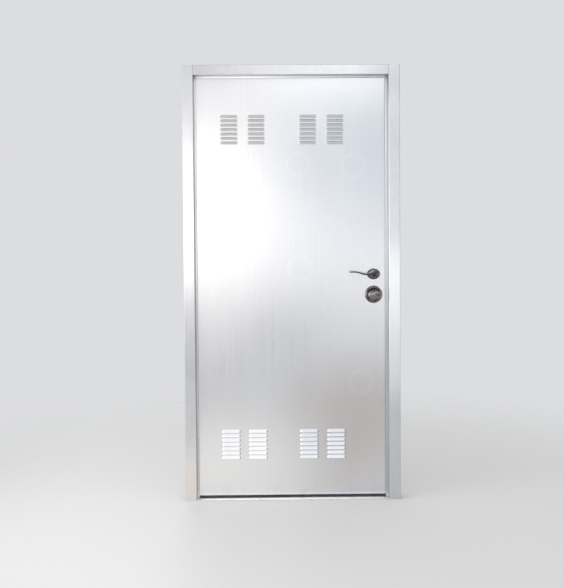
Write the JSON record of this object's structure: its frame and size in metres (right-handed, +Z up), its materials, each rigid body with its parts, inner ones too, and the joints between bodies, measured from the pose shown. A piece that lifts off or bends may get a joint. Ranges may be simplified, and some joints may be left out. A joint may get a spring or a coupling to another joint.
{
  "type": "steel utility door",
  "caption": "Hinged hollow steel door in a folded steel frame, with pressed louvre vents, a wave lever and an oval knob.",
  "frame": {"origin": "centre of the threshold's underside, at floor level and the middle of the frame's depth", "axes": "+Z up, +X to the right seen from the front, +Y away from the viewer, the way the leaf opens"},
  "size_m": [1.03, 0.146, 2.074],
  "materials": {
    "frame_steel": "satin galvanised steel",
    "leaf_steel": "satin brushed galvanised steel, lightly soiled",
    "edge_steel": "dull galvanised steel",
    "hinge_steel": "zinc plated steel",
    "bronze": "dark antique bronze, satin",
    "rubber": "black rubber"
  },
  "bodies": {
    "frame": {"hinge_jamb": "frame_steel", "strike_jamb": "frame_steel", "head": "frame_steel", "threshold": "frame_steel", "hinge_stop": "frame_steel", "strike_stop": "frame_steel", "head_stop": "frame_steel", "latch_strike": "hinge_steel", "deadbolt_strike": "hinge_steel", "upper_hinge_frame_plate": "hinge_steel", "upper_hinge_pin": "hinge_steel", "middle_hinge_frame_plate": "hinge_steel", "middle_hinge_pin": "hinge_steel", "lower_hinge_frame_plate": "hinge_steel", "lower_hinge_pin": "hinge_steel"},
    "leaf": {"front_skin": "leaf_steel", "back_skin": "leaf_steel", "top_rail": "edge_steel", "bottom_rail": "edge_steel", "hinge_stile": "edge_steel", "lock_stile": "edge_steel", "bottom_seal": "rubber", "latch_face_plate": "bronze", "latch_bolt": "hinge_steel", "deadbolt_face_plate": "bronze", "deadbolt": "hinge_steel", "front_lever_rose": "bronze", "back_lever_rose": "bronze", "front_knob_rose": "bronze", "back_knob_rose": "bronze", "upper_hinge_leaf_plate": "hinge_steel", "middle_hinge_leaf_plate": "hinge_steel", "lower_hinge_leaf_plate": "hinge_steel"},
    "lever": {"front_lever": "bronze", "back_lever": "bronze", "lever_spindle": "hinge_steel"},
    "knob": {"front_knob": "bronze", "back_knob": "bronze", "knob_spindle": "hinge_steel"}
  },
  "joints": [
    {"name": "leaf_swing", "type": "hinge", "parent": "frame", "child": "leaf", "pos_m": [-0.459, 0.049, 0], "axis": [0, 0, 1], "range_deg": [0, 110]},
    {"name": "lever_turn", "type": "hinge", "parent": "leaf", "child": "lever", "pos_m": [0.392, 0.0005, 1.08], "axis": [0, -1, 0], "range_deg": [0, 45], "stiffness_Nm_per_rad": 0.9, "springref_deg": -40.11},
    {"name": "knob_turn", "type": "hinge", "parent": "leaf", "child": "knob", "pos_m": [0.392, 0.0005, 0.982], "axis": [0, -1, 0], "range_deg": [0, 90]}
  ]
}
